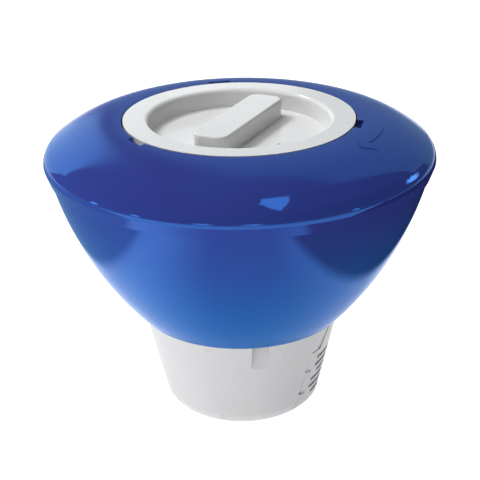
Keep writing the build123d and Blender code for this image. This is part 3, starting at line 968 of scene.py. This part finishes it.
@dataclass
class FloorCard(Card):
    """A card that lies on the floor from a curved near edge out to a far one."""

    middle: float = 0.1
    start: float = -0.2
    end: float = 0.25
    bow: float = 0.0
    slant: float = 0.0
    far: float = 2.0
    lift: float = 0.4 * MM

    def build(self) -> None:
        """Lay the card down."""

        def point(across: float, along: float) -> Point3:
            """Point of the floor card.

            Args:
                across: share from its near edge out, from 0 to 1.
                along: share of its length, from 0 to 1.

            Returns:
                The point.
            """
            forward = self.start + (self.end - self.start) * along
            swing = 2 * along - 1
            near = self.middle + self.slant * swing + self.bow * swing**2
            return near + (self.far - near) * across, forward, self.lift

        self.place(point)


@dataclass
class Studio:
    """Pale floor, surround, lamps and reflection cards."""

    floor_size: float = 12.0
    floor_drop: float = 0.1 * MM
    floor_colour: Colour = (0.50, 0.50, 0.50)
    floor_lift: float = 0.92
    surround: Colour = (0.92, 0.92, 0.94)
    surround_light: float = 0.06
    surround_seen: float = 0.955
    surround_mirrored: float = 0.25

    def build(self) -> None:
        """Build the floor, the surround, the lamps and the cards."""
        self.lay_floor()
        self.paint_surround()
        for item in (*self.lamps(), *self.sky_cards(), *self.floor_cards()):
            item.build()
        log.info("built the studio")

    def lay_floor(self) -> None:
        """Lay a plain pale floor just under the cup's foot."""
        half = self.floor_size / 2
        low = -self.floor_drop
        corners = [(-half, -half, low), (half, -half, low), (half, half, low), (-half, half, low)]
        mesh = bpy.data.meshes.new("studio_floor")
        mesh.from_pydata(corners, [], [(0, 1, 2, 3)])
        floor = bpy.data.objects.new("studio_floor", mesh)
        bpy.context.scene.collection.objects.link(floor)
        sheet = ShaderSheet("studio_floor")
        sheet.shader.inputs["Base Color"].default_value = (*self.floor_colour, 1.0)
        sheet.shader.inputs["Roughness"].default_value = 0.9
        sheet.shader.inputs["Specular IOR Level"].default_value = 0.0
        sheet.shader.inputs["Emission Color"].default_value = (1.0, 1.0, 1.0, 1.0)
        sheet.shader.inputs["Emission Strength"].default_value = self.floor_lift
        from_below = sheet.add("ShaderNodeMixShader")
        sheet.join(sheet.add("ShaderNodeNewGeometry").outputs["Backfacing"], from_below.inputs[0])
        sheet.join(sheet.shader.outputs["BSDF"], from_below.inputs[1])
        sheet.join(sheet.add("ShaderNodeBsdfTransparent").outputs[0], from_below.inputs[2])
        sheet.join(from_below.outputs[0], sheet.out.inputs["Surface"])
        mesh.materials.append(sheet.material)

    def paint_surround(self) -> None:
        """Pale to look at and as fill light, dim in reflections, so that the gloss reads deep."""
        world = bpy.data.worlds.new("studio_surround")
        bpy.context.scene.world = world
        world.use_nodes = True
        tree = world.node_tree
        tree.nodes.clear()
        out = tree.nodes.new("ShaderNodeOutputWorld")
        path = tree.nodes.new("ShaderNodeLightPath")
        shades = {}
        for kind, strength, tint in (
            ("light", self.surround_light, self.surround),
            ("seen", self.surround_seen, (1.0, 1.0, 1.0)),
            ("mirrored", self.surround_mirrored, (0.75, 0.65, 1.0)),
        ):
            shade = tree.nodes.new("ShaderNodeBackground")
            shade.inputs["Color"].default_value = (*tint, 1.0)
            shade.inputs["Strength"].default_value = strength
            shades[kind] = shade.outputs[0]
        for_gloss = tree.nodes.new("ShaderNodeMixShader")
        tree.links.new(path.outputs["Is Glossy Ray"], for_gloss.inputs[0])
        tree.links.new(shades["light"], for_gloss.inputs[1])
        tree.links.new(shades["mirrored"], for_gloss.inputs[2])
        for_sight = tree.nodes.new("ShaderNodeMixShader")
        tree.links.new(path.outputs["Is Camera Ray"], for_sight.inputs[0])
        tree.links.new(for_gloss.outputs[0], for_sight.inputs[1])
        tree.links.new(shades["seen"], for_sight.inputs[2])
        tree.links.new(for_sight.outputs[0], out.inputs["Surface"])

    def lamps(self) -> list[SoftBox]:
        """The lamps that light the object.

        Returns:
            The lamps.
        """
        heart = (0.0, 0.0, 0.10)
        return [
            SoftBox("key_left", (-0.85, 0.40, 1.40), heart, 0.5, 0.5, 17.0),
            SoftBox("low_left", (-1.1, -0.75, 0.25), (0.0, 0.0, 0.04), 0.7, 0.5, 5.0),
            SoftBox("front_fill", (-0.35, -1.5, 0.9), heart, 1.2, 0.8, 4.0),
            SoftBox("overhead", (-0.25, 0.1, 1.6), heart, 0.6, 0.6, 6.0),
            SoftBox(
                "lid_spark",
                (-0.5, 0.9, 1.3),
                heart,
                0.12,
                0.12,
                3.0,
                mirrored=True,
                only_for=("lid_cap",),
            ),
            SoftBox(
                "lid_window",
                (-0.15, 1.4, 0.50),
                heart,
                0.5,
                0.25,
                0.35,
                mirrored=True,
                only_for=("lid_cap",),
            ),
        ]

    def sky_cards(self) -> list[SkyCard]:
        """The cards that shape the gleams from above the floor.

        Returns:
            The cards.
        """
        pale = (0.80, 0.90, 1.0)
        cool = (0.70, 0.95, 1.0)
        return [
            SkyCard(
                "back_wall", 0.50, cool, Edge.STRAIGHT, 0.02, (-14.0, 46.0), (-4.0, 60.0), lean=8.0
            ),
            SkyCard("left_window", 1.3, cool, Edge.OVAL, 0.12, (-52.0, -14.0), (-12.0, 38.0)),
            SkyCard("soft_sheen", 0.35, pale, Edge.OVAL, 0.8, (12.0, 38.0), (24.0, 46.0)),
            SkyCard("roof_window", 1.8, pale, Edge.STRAIGHT, 0.10, (66.0, 122.0), (75.0, 84.0)),
            SkyCard("streak_west", 3.0, pale, Edge.OVAL, 0.7, (-98.0, -90.0), (0.0, 12.0)),
            SkyCard("streak_south_west", 3.0, pale, Edge.OVAL, 0.7, (-126.0, -118.0), (0.0, 10.0)),
            SkyCard("streak_front_left", 3.0, pale, Edge.OVAL, 0.7, (-168.0, -152.0), (1.0, 9.0)),
            SkyCard("streak_front_right", 3.0, pale, Edge.OVAL, 0.7, (166.0, 182.0), (1.0, 9.0)),
            SkyCard("streak_east", 4.0, pale, Edge.OVAL, 0.6, (57.0, 73.0), (9.0, 26.0)),
            SkyCard("streak_south_east", 3.0, pale, Edge.OVAL, 0.6, (112.0, 119.0), (4.0, 11.0)),
        ]

    def floor_cards(self) -> list[FloorCard]:
        """Dark cards on the floor, seen only in reflections: painted floor shadow that deepens the bowl.

        Returns:
            The cards.
        """
        return [
            # Painted shadow of the float on the floor to its right, seen only in the bowl's gloss.
            FloorCard(
                "floor_shadow_right",
                0.012,
                (0.80, 0.75, 1.0),
                Edge.STRAIGHT,
                0.02,
                middle=0.140,
                start=-0.30,
                end=0.60,
                bow=-0.02,
                slant=0.06,
                far=2.5,
            ),
            # Painted shadow on the floor to the left, seen only in the bowl's gloss.
            FloorCard(
                "floor_shadow_left",
                0.55,
                (0.50, 0.85, 1.0),
                Edge.STRAIGHT,
                0.02,
                middle=-0.135,
                start=-0.30,
                end=0.60,
                bow=-0.09,
                far=-2.5,
            ),
            # Painted shadow on the floor in front, under the bowl, seen only in its gloss.
            FloorCard(
                "floor_shadow_front",
                0.50,
                (0.80, 0.70, 1.0),
                Edge.OVAL,
                0.75,
                middle=-0.16,
                start=-0.48,
                end=0.10,
                far=0.16,
                lift=0.3 * MM,
            ),
        ]


@dataclass
class StudioCamera:
    """The camera: where it stands and how it is aimed."""

    place: Point3 = (0.0, -0.6333, 0.3768)
    tilt_down: float = 23.925
    pan_left: float = 0.049
    roll: float = -0.903
    lens: float = 93.43
    sensor: float = 36.0

    def build(self) -> None:
        """Set the camera up and make it the scene's."""
        camera = bpy.data.cameras.new("studio_camera")
        camera.lens = self.lens
        camera.sensor_width = self.sensor
        camera.clip_start = 0.01
        rig = bpy.data.objects.new("studio_camera", camera)
        pan = Euler((0.0, 0.0, math.radians(self.pan_left))).to_matrix()
        tilt = Euler((math.radians(90.0 - self.tilt_down), 0.0, 0.0)).to_matrix()
        roll = Euler((0.0, 0.0, math.radians(self.roll))).to_matrix()
        rig.matrix_world = (pan @ tilt @ roll).to_4x4()
        rig.location = self.place
        bpy.context.scene.collection.objects.link(rig)
        bpy.context.scene.camera = rig


def main() -> None:
    """Build the sub-assemblies, the studio and the camera in order."""
    logging.basicConfig(level=logging.INFO)
    bpy.context.scene.view_settings.view_transform = "Standard"
    for part in (FloatShells(), WellTube(), SealingRings(), Lid(), Cup(), Regulator()):
        part.build()
        log.info("built %s", type(part).__name__)
    Studio().build()
    StudioCamera().build()


if __name__ == "__main__":
    main()
